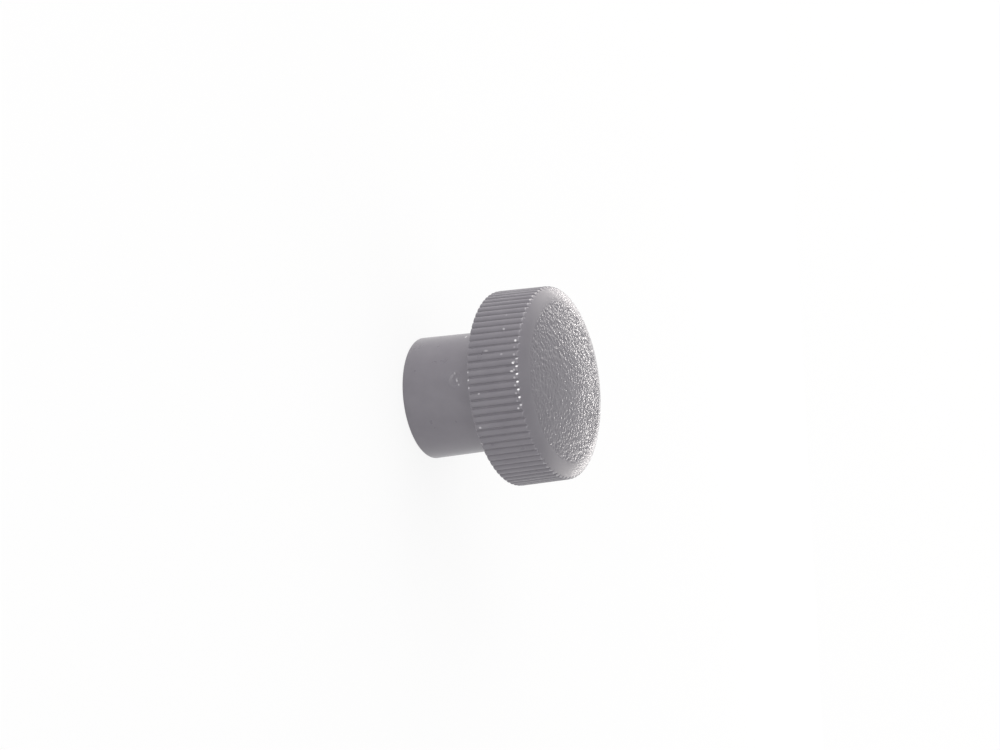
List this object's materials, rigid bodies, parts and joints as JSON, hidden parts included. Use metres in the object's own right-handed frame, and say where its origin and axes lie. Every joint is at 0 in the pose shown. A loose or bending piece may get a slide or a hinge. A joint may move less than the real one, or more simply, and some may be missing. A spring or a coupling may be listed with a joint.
{
  "type": "knurled knob",
  "caption": "Round moulded knob with a straight-knurled rim, a crowned grained face and a plain hub with a tapped insert, turned by hand to tighten or adjust a screw.",
  "frame": {"origin": "centre of the hub's free end, at the mouth of the tapped hole", "axes": "+Z along the knob's axis from the hub's end towards the face; -Y through a groove of the knurl"},
  "size_m": [0.025, 0.025, 0.0203],
  "materials": {
    "moulded_plastic": "satin moulded grey plastic, finely grained on the face",
    "insert_brass": "turned brass"
  },
  "bodies": {
    "root": {"knob_body": "moulded_plastic", "threaded_insert": "insert_brass"}
  },
  "joints": []
}
